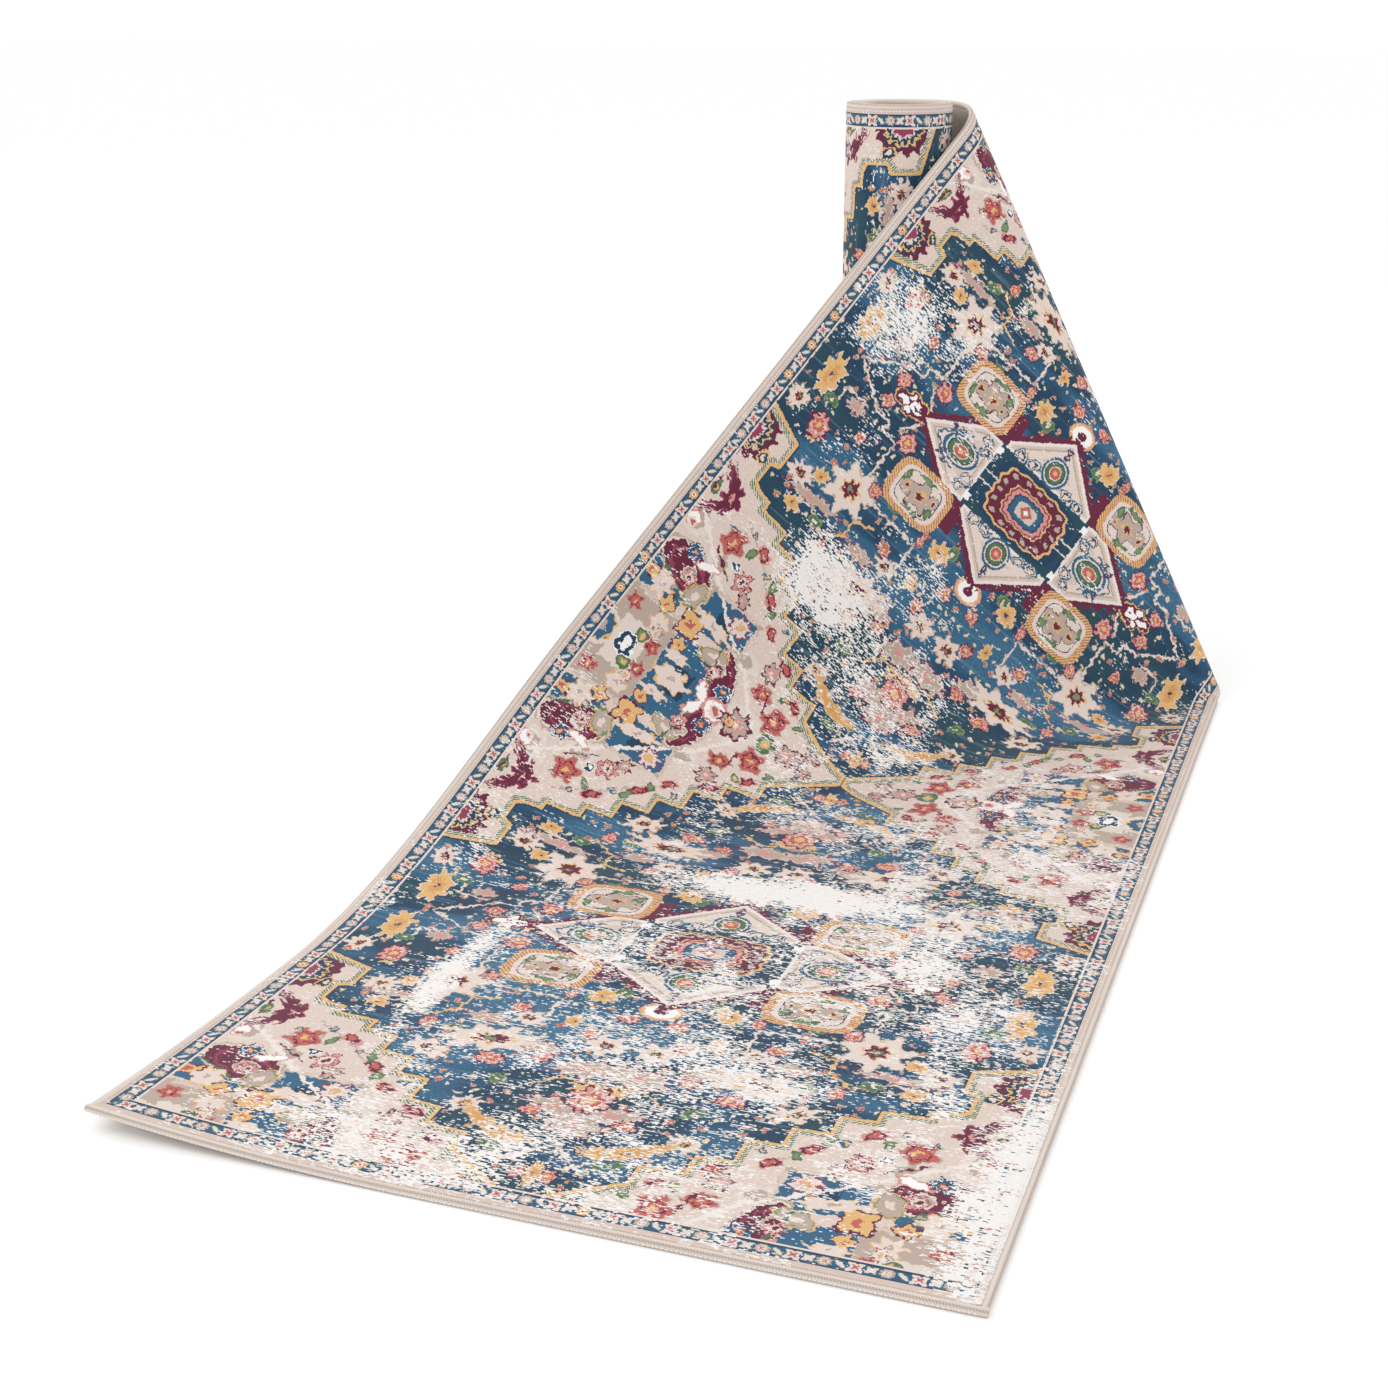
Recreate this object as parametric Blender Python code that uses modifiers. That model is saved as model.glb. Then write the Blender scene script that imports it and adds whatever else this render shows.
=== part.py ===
"""Runner rug, partly unrolled: the front lies on the floor, the middle folds up and over, and the rear stands as a
hollow roll on its long edge. Metres, +Z up. X runs across the rug, +Y from the front end towards the roll.

The rug is one flat strip. A ruling is a straight line across it, from the right edge to the left edge, and the
strip bends only along rulings. Bending it ruling by ruling keeps every length true, as on the real cloth."""

import math
from collections import namedtuple

import bmesh
import bpy
from mathutils import Matrix, Vector

COLLECTION = "runner_rug"

# The flat rug.
WIDTH = 0.80
LENGTH = 2.975
PILE = 0.0045
BACKING = 0.0020
GAP = 0.0003
THICKNESS = PILE + GAP + BACKING
BINDING = 0.008
THREAD = 0.0010
THREAD_DEPTH = 0.0012
CHAMFER = 0.0016
SEAM = BINDING + GAP
MARGIN = SEAM + THREAD + GAP

# Where the free front end curls up, measured along the rug from its front end.
TIP_HINGE = 0.150
FOLD_HINGE = 0.300

# The valley: rulings that fan out from the right edge and lift the rug off the floor.
VALLEY_RULINGS = 16
VALLEY_BEND = math.radians(73.6)
VALLEY_RIGHT = (1.4888, 1.4968)
VALLEY_LEFT = (0.336, 1.024)
VALLEY_EASE = 3.0

# The ridge: the rug folds over backwards here, tightly at the floor and as wide as the roll at the top.
RIDGE_RULINGS = 14
RIDGE_BEND = math.radians(130.0)
RIDGE_RIGHT = (1.4998, 1.5222)
RIDGE_LEFT = (1.826, 1.956)

# The roll, seen from above as a spiral that winds inwards.
ROLL_RADIUS = 0.075
ROLL_PITCH = THICKNESS + 0.0012
STEPS_PER_TURN = 40
STRAIGHT_RUN = 0.029

PANEL_LEAD = 0.012

COLOURS = {
    "pile": ((0.060, 0.130, 0.210), 0.95),
    "backing": ((0.620, 0.560, 0.480), 0.90),
    "binding": ((0.640, 0.550, 0.480), 0.85),
    "thread": ((0.800, 0.770, 0.720), 0.70),
}

Station = namedtuple("Station", "right left")
Panel = namedtuple("Panel", "name stations")


def clear_scene():
    for old in list(bpy.data.objects):
        bpy.data.objects.remove(old)


def make_collection():
    made = bpy.data.collections.new(COLLECTION)
    bpy.context.scene.collection.children.link(made)
    return made


def make_material(node, kind):
    colour, roughness = COLOURS[kind]
    made = bpy.data.materials.new(node)
    made.use_nodes = True
    shader = made.node_tree.nodes["Principled BSDF"]
    shader.inputs["Base Color"].default_value = (*colour, 1.0)
    shader.inputs["Roughness"].default_value = roughness
    shader.inputs["Metallic"].default_value = 0.0
    return made


def mix(a, b, share):
    return a + (b - a) * share


def flat_point(along, across):
    """A point of the flat rug on the floor. across is 0 at the right edge and WIDTH at the left."""
    return Vector((WIDTH / 2 - across, along, THICKNESS))


def valley_rulings():
    """(right, left, bend) of each ruling of the fan that lifts the rug, the bend positive upwards."""
    made = []
    for index in range(VALLEY_RULINGS):
        share = (index + 0.5) / VALLEY_RULINGS
        right = VALLEY_RIGHT[1] - (VALLEY_RIGHT[1] - VALLEY_RIGHT[0]) * (1 - share) ** VALLEY_EASE
        made.append((right, mix(*VALLEY_LEFT, share), VALLEY_BEND / VALLEY_RULINGS))
    return made


def ridge_rulings():
    made = []
    for index in range(RIDGE_RULINGS):
        share = (index + 0.5) / RIDGE_RULINGS
        made.append((mix(*RIDGE_RIGHT, share), mix(*RIDGE_LEFT, share), -RIDGE_BEND / RIDGE_RULINGS))
    return made


def folded_stations(rulings):
    """Bends the flat strip along each ruling in turn. Returns the bent rulings and the last transform."""
    place = Matrix.Identity(4)
    made = []
    for right, left, bend in rulings:
        start = place @ flat_point(right, 0)
        end = place @ flat_point(left, WIDTH)
        made.append(Station(start, end))
        turn = Matrix.Rotation(-bend, 4, end - start)
        place = Matrix.Translation(start) @ turn @ Matrix.Translation(-start) @ place
    return made, place


def upright(place, along):
    """The foot of an upright ruling behind the ridge, on the floor."""
    foot = place @ flat_point(along, 0)
    return Vector((foot.x, foot.y, 0.0))


def upright_station(foot):
    return Station(foot, foot + Vector((0, 0, WIDTH)))


def settle(stations, valley_count, target):
    """Eases the left ends of the lifted rulings so that the last one meets the upright part's top edge."""
    shift = target - stations[-1].left
    made = []
    for index, station in enumerate(stations):
        share = min(1.0, index / valley_count)
        made.append(Station(station.right, station.left + shift * share))
    return made


def roll_stations(tangent, heading, count):
    """Upright rulings along the spiral, which starts at its outermost point, tangent."""
    outward = Vector((heading.y, -heading.x, 0))
    centre = tangent - outward * ROLL_RADIUS
    made = []
    for index in range(count + 1):
        angle = index * math.tau / STEPS_PER_TURN
        radius = ROLL_RADIUS - ROLL_PITCH * angle / math.tau
        made.append(upright_station(centre + Matrix.Rotation(angle, 3, "Z") @ outward * radius))
    return made


def between(first, second, share):
    return Station(mix(first.right, second.right, share), mix(first.left, second.left, share))


def lead(first, second, distance):
    """The ruling a short way from first towards second, by the same distance along both edges."""
    right = (second.right - first.right).normalized() * distance
    left = (second.left - first.left).normalized() * distance
    return Station(first.right + right, first.left + left)


def flat_station(along):
    return Station(flat_point(along, 0), flat_point(along, WIDTH))


def steps_left(run_start):
    """How many spiral steps the rest of the rug takes, once its straight run has ended."""
    left = LENGTH - run_start - STRAIGHT_RUN
    steps = 0
    while left > 0:
        radius = ROLL_RADIUS - ROLL_PITCH * steps / STEPS_PER_TURN
        left -= radius * math.tau / STEPS_PER_TURN
        steps += 1
    return steps


def make_panels():
    """The strip's panels behind the front end, each a run of stations. They meet on flat stretches."""
    valley, ridge = valley_rulings(), ridge_rulings()
    bent, place = folded_stations(valley + ridge)
    run_start = RIDGE_LEFT[1] + GAP
    foot = upright(place, run_start)
    heading = (upright(place, run_start + STRAIGHT_RUN) - foot).normalized()
    bent = settle(bent, len(valley), foot + Vector((0, 0, WIDTH)) - heading * GAP)
    lifted, folded = bent[: len(valley)], bent[len(valley) :]

    before_valley = lead(lifted[0], flat_station(FOLD_HINGE), PANEL_LEAD)
    mid_lean = between(lifted[-1], folded[0], 0.5)
    mid_run = upright_station(foot + heading * STRAIGHT_RUN / 2)
    spiral = roll_stations(foot + heading * STRAIGHT_RUN, heading, steps_left(run_start))
    outer, inner = spiral[:STEPS_PER_TURN], spiral[STEPS_PER_TURN:]
    mid_roll = between(outer[-1], inner[0], 0.5)
    return [
        Panel("floor", [flat_station(FOLD_HINGE), before_valley]),
        Panel("rise", [before_valley, *lifted, mid_lean]),
        Panel("ridge", [mid_lean, *folded, mid_run]),
        Panel("outer_turn", [mid_run, *outer, mid_roll]),
        Panel("inner_turn", [mid_roll, *inner]),
    ]


def facet_normals(stations):
    """The pile-side normal of each facet between neighbouring rulings."""
    made = []
    for first, second in zip(stations, stations[1:]):
        diagonal = second.left - first.right
        other = first.left - second.right
        made.append(diagonal.cross(other).normalized())
    return made


def mitred(stations):
    """Each ruling with the direction and length that keep an offset surface at constant thickness."""
    facets = facet_normals(stations)
    made = []
    for index, station in enumerate(stations):
        before = facets[max(index - 1, 0)]
        after = facets[min(index, len(facets) - 1)]
        normal = (before + after).normalized()
        made.append((station, normal / normal.dot(after)))
    return made


def trimmed(stations):
    """Takes half a gap off both ends, so that neighbouring panels never touch."""
    start = lead(stations[0], stations[1], GAP / 2)
    end = lead(stations[-1], stations[-2], GAP / 2)
    return [start, *stations[1:-1], end]


def loft(name, stations, profile):
    """Sweeps a closed profile of (across, depth) points along the rulings, with a cap on each end."""
    mesh = bmesh.new()
    rings = []
    for station, normal in mitred(trimmed(stations)):
        across = (station.left - station.right) / WIDTH
        ring = [mesh.verts.new(station.right + across * v - normal * depth) for v, depth in profile]
        rings.append(ring)
    sides = len(profile)
    for first, second in zip(rings, rings[1:]):
        for side in range(sides):
            after = (side + 1) % sides
            mesh.faces.new((first[side], first[after], second[after], second[side]))
    mesh.faces.new(rings[0])
    mesh.faces.new(rings[-1])
    return finished(name, mesh)


def block(name, low, high, rounding=0.0):
    """A box between two corners, with its long edges rounded where asked."""
    mesh = bmesh.new()
    bmesh.ops.create_cube(mesh, size=1.0)
    size = Vector(high) - Vector(low)
    middle = (Vector(high) + Vector(low)) / 2
    bmesh.ops.scale(mesh, vec=size, verts=mesh.verts)
    bmesh.ops.translate(mesh, vec=middle, verts=mesh.verts)
    made = finished(name, mesh)
    if rounding:
        bevel = made.modifiers.new("rounded", "BEVEL")
        bevel.width = rounding
        bevel.segments = 2
    return made


def finished(name, mesh):
    bmesh.ops.recalc_face_normals(mesh, faces=mesh.faces)
    data = bpy.data.meshes.new(name)
    mesh.to_mesh(data)
    mesh.free()
    return bpy.data.objects.new(name, data)


def bead_profile(inner, outer, toward):
    """A binding's section: square at the seam, chamfered on the rug's outer edge."""
    cut = CHAMFER * toward
    return [
        (inner, 0.0),
        (outer - cut, 0.0),
        (outer, CHAMFER),
        (outer, THICKNESS - CHAMFER),
        (outer - cut, THICKNESS),
        (inner, THICKNESS),
    ]


def slab_profile(start, end, top, bottom):
    return [(start, top), (end, top), (end, bottom), (start, bottom)]


def sections():
    """Every layer or edge that runs along the rug: its name, its kind and its profile."""
    return [
        ("pile", "pile", slab_profile(MARGIN, WIDTH - MARGIN, 0.0, PILE)),
        ("backing", "backing", slab_profile(SEAM, WIDTH - SEAM, PILE + GAP, THICKNESS)),
        ("right_binding", "binding", bead_profile(BINDING, 0.0, -1)),
        ("left_binding", "binding", bead_profile(WIDTH - BINDING, WIDTH, 1)),
    ]


def threads():
    return [
        ("right_thread", slab_profile(SEAM, SEAM + THREAD, 0.0, THREAD_DEPTH)),
        ("left_thread", slab_profile(WIDTH - SEAM - THREAD, WIDTH - SEAM, 0.0, THREAD_DEPTH)),
    ]


def front_panels():
    """The two hinged panels of the free front end, behind the front hem."""
    fold = Panel("front_fold", [flat_station(TIP_HINGE), flat_station(FOLD_HINGE)])
    tip = Panel("front_tip", [flat_station(BINDING + GAP / 2), flat_station(TIP_HINGE)])
    return [tip, fold]


def front_hem():
    low = (-WIDTH / 2, 0, 0)
    return block("front_hem", low, (WIDTH / 2, BINDING, THICKNESS), CHAMFER)


def front_hem_thread():
    side = WIDTH / 2 - MARGIN
    low = (-side, SEAM, THICKNESS - THREAD_DEPTH)
    return block("front_hem_thread", low, (side, SEAM + THREAD, THICKNESS))


def rear_stations(last, before):
    """The last ruling's surroundings: where the panels stop, where the hem starts, and the rug's end."""
    stop = lead(last, before, BINDING)
    return stop, last


def shortened_tip(panel):
    """The tip's pile starts behind the hem's thread, and everything else behind the hem."""
    return Panel(panel.name, [flat_station(MARGIN), *panel.stations[1:]])


def make_parts():
    """(object, kind) of every sub-part."""
    made = [(front_hem(), "binding"), (front_hem_thread(), "thread")]
    panels = make_panels()
    stop, end = rear_stations(panels[-1].stations[-1], panels[-1].stations[-2])
    panels[-1] = Panel(panels[-1].name, [*panels[-1].stations[:-1], stop])
    front = front_panels()
    for panel in front + panels:
        for layer, kind, profile in sections():
            used = panel
            if layer == "pile" and panel.name == "front_tip":
                used = shortened_tip(panel)
            made.append((loft(f"{layer}_{panel.name}", used.stations, profile), kind))
    strip = [panels[0].stations[0]]
    for panel in panels:
        strip.extend(panel.stations[1:])
    runs = [*front, Panel("body", strip)]
    for run in runs:
        for layer, profile in threads():
            made.append((loft(f"{layer}_{run.name}", run.stations, profile), "thread"))
    hem = slab_profile(0.0, WIDTH, 0.0, THICKNESS)
    made.append((loft("rear_hem", [stop, end], hem), "binding"))
    return made


def centre(objects):
    """Moves the whole rug so that its box is centred over the origin, with the floor at z = 0."""
    points = [vertex.co for made, _ in objects for vertex in made.data.vertices]
    middle = Vector((0.0, 0.0, 0.0))
    for axis in (0, 1):
        values = [point[axis] for point in points]
        middle[axis] = (min(values) + max(values)) / 2
    for made, _ in objects:
        made.data.transform(Matrix.Translation(-middle))
    return middle


def set_hinge_origins(objects, middle):
    """Puts the origin of each front-end piece on its hinge line, at the top of the pile."""
    for made, _ in objects:
        along = None
        if made.name.endswith("front_fold"):
            along = FOLD_HINGE
        elif made.name.endswith("front_tip") or made.name.startswith("front_hem"):
            along = TIP_HINGE
        if along is None:
            continue
        hinge = Vector((0, along, THICKNESS)) - Vector((middle.x, middle.y, 0))
        made.data.transform(Matrix.Translation(-hinge))
        made.location = hinge


def main():
    clear_scene()
    collection = make_collection()
    objects = make_parts()
    middle = centre(objects)
    set_hinge_origins(objects, middle)
    for made, kind in objects:
        made.data.materials.append(make_material(made.name, kind))
        collection.objects.link(made)


main()
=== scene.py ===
"""Looks of the runner rug: one printed, low-pile strip that lies flat in front, folds up and over, and stands behind
as a roll. Metres, +Z up. Every piece is built on the same rulings as the frame's own panels."""

import math

import bpy
import numpy as np
from mathutils import Matrix, Vector


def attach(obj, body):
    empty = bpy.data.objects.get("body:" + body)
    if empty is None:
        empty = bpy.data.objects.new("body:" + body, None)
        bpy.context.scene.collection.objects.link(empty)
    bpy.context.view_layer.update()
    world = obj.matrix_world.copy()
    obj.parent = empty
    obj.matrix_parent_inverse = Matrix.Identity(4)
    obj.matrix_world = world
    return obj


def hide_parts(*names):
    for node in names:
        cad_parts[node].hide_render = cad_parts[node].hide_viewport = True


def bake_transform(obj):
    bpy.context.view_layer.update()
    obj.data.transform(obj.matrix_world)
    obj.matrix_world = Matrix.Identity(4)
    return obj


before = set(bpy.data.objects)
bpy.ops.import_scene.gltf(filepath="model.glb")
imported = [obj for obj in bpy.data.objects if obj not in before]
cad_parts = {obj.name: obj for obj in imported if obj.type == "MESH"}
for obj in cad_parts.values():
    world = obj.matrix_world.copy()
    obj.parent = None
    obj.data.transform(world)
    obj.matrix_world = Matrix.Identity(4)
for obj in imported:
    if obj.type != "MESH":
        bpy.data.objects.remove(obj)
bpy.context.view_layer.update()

# The flat rug.
WIDTH = 0.80
LENGTH = 2.975
PILE = 0.0045
BACKING_TOP = 0.0048
THICKNESS = 0.0068
BINDING = 0.008
GAP = 0.0003
FOLD_HINGE = 0.300
FOLD_FLAT = 0.225

# The fold and the roll, as the frame has them, with finer rulings.
VALLEY = {"count": 48, "bend": math.radians(73.6), "right": (1.4888, 1.4968), "left": (0.336, 1.024)}
VALLEY_EASE = 3.0
RIDGE = {"count": 36, "bend": -math.radians(130.0), "right": (1.4998, 1.5222), "left": (1.826, 1.956)}
ROLL_RADIUS = 0.075
ROLL_PITCH = 0.0080
CAD_STEPS = 40
STEP_SPLIT = 2
STRAIGHT_RUN = 0.029
MIDDLE = Vector((0.00054875, 0.77723771, 0.0))

# The free front-left corner lifts a little.
LIFT = 0.018
LIFT_START = 0.60 * WIDTH
LIFT_REACH = 0.40

COLUMNS = 56


# ---------------------------------------------------------------- the folded strip


def mix(a, b, share):
    return a + (b - a) * share


def flat_point(along, across):
    return Vector((WIDTH / 2 - across, along, THICKNESS))


def fan(spec, ease=1.0):
    """(right, left, bend) of each ruling of a fan."""
    made = []
    for index in range(spec["count"]):
        share = (index + 0.5) / spec["count"]
        low, high = spec["right"]
        right = high - (high - low) * (1 - share) ** ease
        made.append((right, mix(*spec["left"], share), spec["bend"] / spec["count"]))
    return made


def fold(rulings):
    """Bends the flat strip along each ruling in turn: (right point, left point, right u, left u) of each."""
    place = Matrix.Identity(4)
    made = []
    for right, left, bend in rulings:
        start = place @ flat_point(right, 0)
        end = place @ flat_point(left, WIDTH)
        made.append((start, end, right, left))
        turn = Matrix.Rotation(-bend, 4, end - start)
        place = Matrix.Translation(start) @ turn @ Matrix.Translation(-start) @ place
    return made, place


def between(first, second, count):
    """count rulings spread evenly between two."""
    made = []
    for index in range(1, count + 1):
        share = index / (count + 1)
        made.append(tuple(mix(a, b, share) for a, b in zip(first, second)))
    return made


def flat_ruling(along):
    return (flat_point(along, 0), flat_point(along, WIDTH), along, along)


def upright(foot, along):
    return (foot, foot + Vector((0, 0, WIDTH)), along, along)


def roll_steps(run_start):
    left = LENGTH - run_start - STRAIGHT_RUN
    steps = 0
    while left > 0:
        left -= (ROLL_RADIUS - ROLL_PITCH * steps / CAD_STEPS) * math.tau / CAD_STEPS
        steps += 1
    return steps


def roll(tangent, heading, along, steps):
    """Upright rulings along the spiral."""
    outward = Vector((heading.y, -heading.x, 0))
    centre = tangent - outward * ROLL_RADIUS
    made = []
    count = steps * STEP_SPLIT
    step = math.tau / CAD_STEPS / STEP_SPLIT
    for index in range(count + 1):
        angle = index * step
        radius = ROLL_RADIUS - ROLL_PITCH * angle / math.tau
        foot = centre + Matrix.Rotation(angle, 3, "Z") @ outward * radius
        made.append(upright(foot, along))
        along += radius * step
    return made


def whole_strip():
    """Every ruling of the rug, from the front end to the end inside the roll."""
    valley = fan(VALLEY, VALLEY_EASE)
    bent, place = fold(valley + fan(RIDGE))
    run_start = RIDGE["left"][1] + GAP
    foot = place @ flat_point(run_start, 0)
    ahead = place @ flat_point(run_start + STRAIGHT_RUN, 0)
    foot.z = ahead.z = 0.0
    heading = (ahead - foot).normalized()
    shift = foot + Vector((0, 0, WIDTH)) - heading * GAP - bent[-1][1]
    for index, (right, left, ur, ul) in enumerate(bent):
        bent[index] = (right, left + shift * min(1.0, index / len(valley)), ur, ul)
    lifted, folded = bent[: len(valley)], bent[len(valley) :]
    front = [flat_ruling(x) for x in np.linspace(0.0, FOLD_HINGE, 41)]
    first_run = upright(foot, run_start)
    rolled = roll(foot + heading * STRAIGHT_RUN, heading, run_start + STRAIGHT_RUN, roll_steps(run_start))
    return [
        *front,
        *between(front[-1], lifted[0], 54),
        *lifted,
        *between(lifted[-1], folded[0], 16),
        *folded,
        *between(folded[-1], first_run, 18),
        first_run,
        *between(first_run, rolled[0], 2),
        *rolled,
    ]


class Strip:
    """The strip's rulings as arrays, with the pile-side normal of each."""

    def __init__(self, rulings):
        self.right = np.array([r[0] - MIDDLE for r in rulings])
        self.left = np.array([r[1] - MIDDLE for r in rulings])
        self.ur = np.array([r[2] for r in rulings])
        self.ul = np.array([r[3] for r in rulings])
        facets = np.cross(self.left[1:] - self.right[:-1], self.left[:-1] - self.right[1:])
        facets /= np.linalg.norm(facets, axis=1, keepdims=True)
        before = np.vstack([facets[:1], facets])
        after = np.vstack([facets, facets[-1:]])
        normal = before + after
        normal /= np.linalg.norm(normal, axis=1, keepdims=True)
        self.facing = normal
        self.normal = normal / np.sum(normal * after, axis=1, keepdims=True)

    def end(self):
        return float(min(self.ur[-1], self.ul[-1]))


def lift(along, across):
    """How far the free front-left corner stands off the floor."""
    side = np.clip((across - LIFT_START) / (WIDTH - LIFT_START), 0.0, None)
    front = np.clip(1 - along / LIFT_REACH, 0.0, None)
    return LIFT * side**2 * front**2


def sample(strip, first, last):
    """The strip's rulings between two distances along it, with exact rulings at both. Only for flat rulings
    at an end that lies on the floor."""
    keep = (strip.ur > first + 1e-6) & (np.maximum(strip.ur, strip.ul) < last - 1e-6)
    index = np.flatnonzero(keep)
    low = np.interp(first, strip.ul[: index[0] + 1], np.arange(index[0] + 1))
    top = np.interp(last, strip.ul[index[-1] :], np.arange(index[-1], len(strip.ul)))
    return np.concatenate([[low], index, [top]])


def pick(values, places):
    """values at fractional places."""
    low = np.clip(np.floor(places).astype(int), 0, len(values) - 2)
    share = (places - low).reshape((-1,) + (1,) * (values.ndim - 1))
    return values[low] * (1 - share) + values[low + 1] * share


# ---------------------------------------------------------------- meshes


def make_object(name, points, faces, material, flat=None, sharp=()):
    data = bpy.data.meshes.new(name)
    data.from_pydata([tuple(p) for p in points], [], [tuple(f) for f in faces])
    data.polygons.foreach_set("use_smooth", np.ones(len(data.polygons), bool))
    if flat is not None:
        layer = data.attributes.new("rug_flat", "FLOAT_VECTOR", "POINT")
        layer.data.foreach_set("vector", np.asarray(flat, np.float32).ravel())
    if len(sharp):
        wanted = {tuple(sorted(pair)) for pair in sharp}
        marks = [tuple(sorted(edge.vertices)) in wanted for edge in data.edges]
        layer = data.attributes.new("sharp_edge", "BOOLEAN", "EDGE")
        layer.data.foreach_set("value", np.array(marks, bool))
    data.materials.append(material)
    data.validate()
    data.update()
    made = bpy.data.objects.new(name, data)
    bpy.context.scene.collection.objects.link(made)
    return made


def bake_map(made, flat, first, last, top_count):
    """A map for baking: the top face fills the image, and the underside has a thin band of its own."""
    data = made.data
    layer = data.uv_layers.new(name="OFBake")
    loops = np.empty(len(data.loops), int)
    data.loops.foreach_get("vertex_index", loops)
    starts = np.empty(len(data.polygons), int)
    totals = np.empty(len(data.polygons), int)
    data.polygons.foreach_get("loop_start", starts)
    data.polygons.foreach_get("loop_total", totals)
    under = np.zeros(len(loops), bool)
    for start, total in zip(starts, totals):
        span = slice(start, start + total)
        under[span] = (loops[span] >= top_count).any()
    x = 0.005 + 0.99 * (flat[loops, 0] - first) / (last - first)
    y = np.where(under, 0.01 + 0.03 * flat[loops, 1] / WIDTH, 0.05 + 0.945 * flat[loops, 1] / WIDTH)
    layer.data.foreach_set("uv", np.column_stack([x, y]).astype(np.float32).ravel())


def cloth_layer(name, strip, first, last, side, top, bottom, material):
    """A closed sheet along the strip from first to last, between two depths below the pile's surface."""
    places = sample(strip, first, last)
    right, left = pick(strip.right, places), pick(strip.left, places)
    ur, ul = pick(strip.ur, places), pick(strip.ul, places)
    normal = pick(strip.normal, places)
    across = np.linspace(side, WIDTH - side, COLUMNS + 1)
    share = (across / WIDTH)[None, :, None]
    base = right[:, None] * (1 - share) + left[:, None] * share
    along = ur[:, None] * (1 - share[..., 0]) + ul[:, None] * share[..., 0]
    base[..., 2] += lift(along, across[None, :])
    upper = base - normal[:, None] * top
    lower = base - normal[:, None] * bottom
    rows, columns = base.shape[:2]
    count = rows * columns
    grid = np.arange(count).reshape(rows, columns)
    a, b, c, d = grid[:-1, :-1], grid[1:, :-1], grid[1:, 1:], grid[:-1, 1:]
    upper_faces = np.stack([a, d, c, b], -1).reshape(-1, 4)
    lower_faces = np.stack([a, b, c, d], -1).reshape(-1, 4) + count
    rim = np.concatenate([grid[0, :], grid[1:, -1], grid[-1, -2::-1], grid[-2:0:-1, 0]])
    after = np.roll(rim, -1)
    sides = np.stack([rim, rim + count, after + count, after], -1)
    points = np.vstack([upper.reshape(-1, 3), lower.reshape(-1, 3)])
    flat = np.stack([along, np.broadcast_to(across, along.shape), np.zeros_like(along)], -1).reshape(-1, 3)
    flat = np.vstack([flat, flat])
    faces = np.vstack([upper_faces, lower_faces, sides])
    sharp = list(zip(rim.tolist(), after.tolist()))
    sharp += [(x + count, y + count) for x, y in sharp]
    made = make_object(name, points, faces, material, flat, sharp)
    bake_map(made, flat, first, last, count)
    return made


def resampled_edge(strip, left_side, first, last, pitch):
    """Points along one long edge at an even pitch, each with its direction along, inward and up."""
    line = strip.left if left_side else strip.right
    along = strip.ul if left_side else strip.ur
    count = max(2, int(round((last - first) / pitch)))
    wanted = np.linspace(first, last, count + 1)
    places = np.interp(wanted, along, np.arange(len(along)))
    points = pick(line, places)
    points[:, 2] += lift(wanted, np.full_like(wanted, WIDTH if left_side else 0.0))
    up = pick(strip.facing, places)
    up /= np.linalg.norm(up, axis=1, keepdims=True)
    forward = np.gradient(points, axis=0)
    forward /= np.linalg.norm(forward, axis=1, keepdims=True)
    inward = np.cross(forward, up) if left_side else np.cross(up, forward)
    inward /= np.linalg.norm(inward, axis=1, keepdims=True)
    return wanted, points, forward, inward, up


def front_edge(pitch):
    """Points along the front end, from the right corner to the left one, with inward towards the roll."""
    count = int(round(WIDTH / pitch))
    wanted = np.linspace(0.0, WIDTH, count + 1)
    points = np.array([flat_point(0, x) - MIDDLE for x in wanted])
    points[:, 2] += lift(np.zeros_like(wanted), wanted)
    forward = np.gradient(points, axis=0)
    forward /= np.linalg.norm(forward, axis=1, keepdims=True)
    inward = np.tile((0.0, 1.0, 0.0), (len(wanted), 1))
    up = np.cross(inward, forward) * -1.0
    up *= np.sign(up[:, 2:3])
    return wanted, points, forward, inward, up


SECTION = 14
WRAP = 0.0042


def bead(name, edge, material, height=1.0, wrap=WRAP):
    """A binding: yarn wound round the edge, so the section swells and dips along it on a slant."""
    wanted, points, forward, inward, up = edge
    angle = np.arange(SECTION) / SECTION * math.tau
    cosine, sine = np.cos(angle), np.sin(angle)
    square = (np.abs(cosine) ** 2.6 + np.abs(sine) ** 2.6) ** (-1 / 2.6)
    phase = wanted[:, None] / wrap * math.pi + angle[None, :] * 0.5
    ridge = 1 - 0.09 * (1 - np.abs(np.sin(phase)))
    wide, tall = BINDING / 2, THICKNESS / 2 * height
    x = wide + wide * (cosine * square)[None, :] * ridge
    depth = tall / height - tall * (sine * square)[None, :] * ridge
    ring = points[:, None] + inward[:, None] * x[..., None] - up[:, None] * depth[..., None]
    rows = len(points)
    grid = np.arange(rows * SECTION).reshape(rows, SECTION)
    after = np.roll(grid, -1, axis=1)
    faces = np.stack([grid[:-1], after[:-1], after[1:], grid[1:]], -1).reshape(-1, 4).tolist()
    faces.append(grid[0][::-1].tolist())
    faces.append(grid[-1].tolist())
    flat = np.zeros(ring.shape)
    flat[..., 0] = wanted[:, None]
    flat[..., 1] = angle[None, :] / math.tau
    made = make_object(name, ring.reshape(-1, 3), faces, material, flat.reshape(-1, 3))
    fix_normals(made)
    return made


def fix_normals(made):
    import bmesh

    mesh = bmesh.new()
    mesh.from_mesh(made.data)
    bmesh.ops.recalc_face_normals(mesh, faces=mesh.faces)
    mesh.to_mesh(made.data)
    mesh.free()


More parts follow.
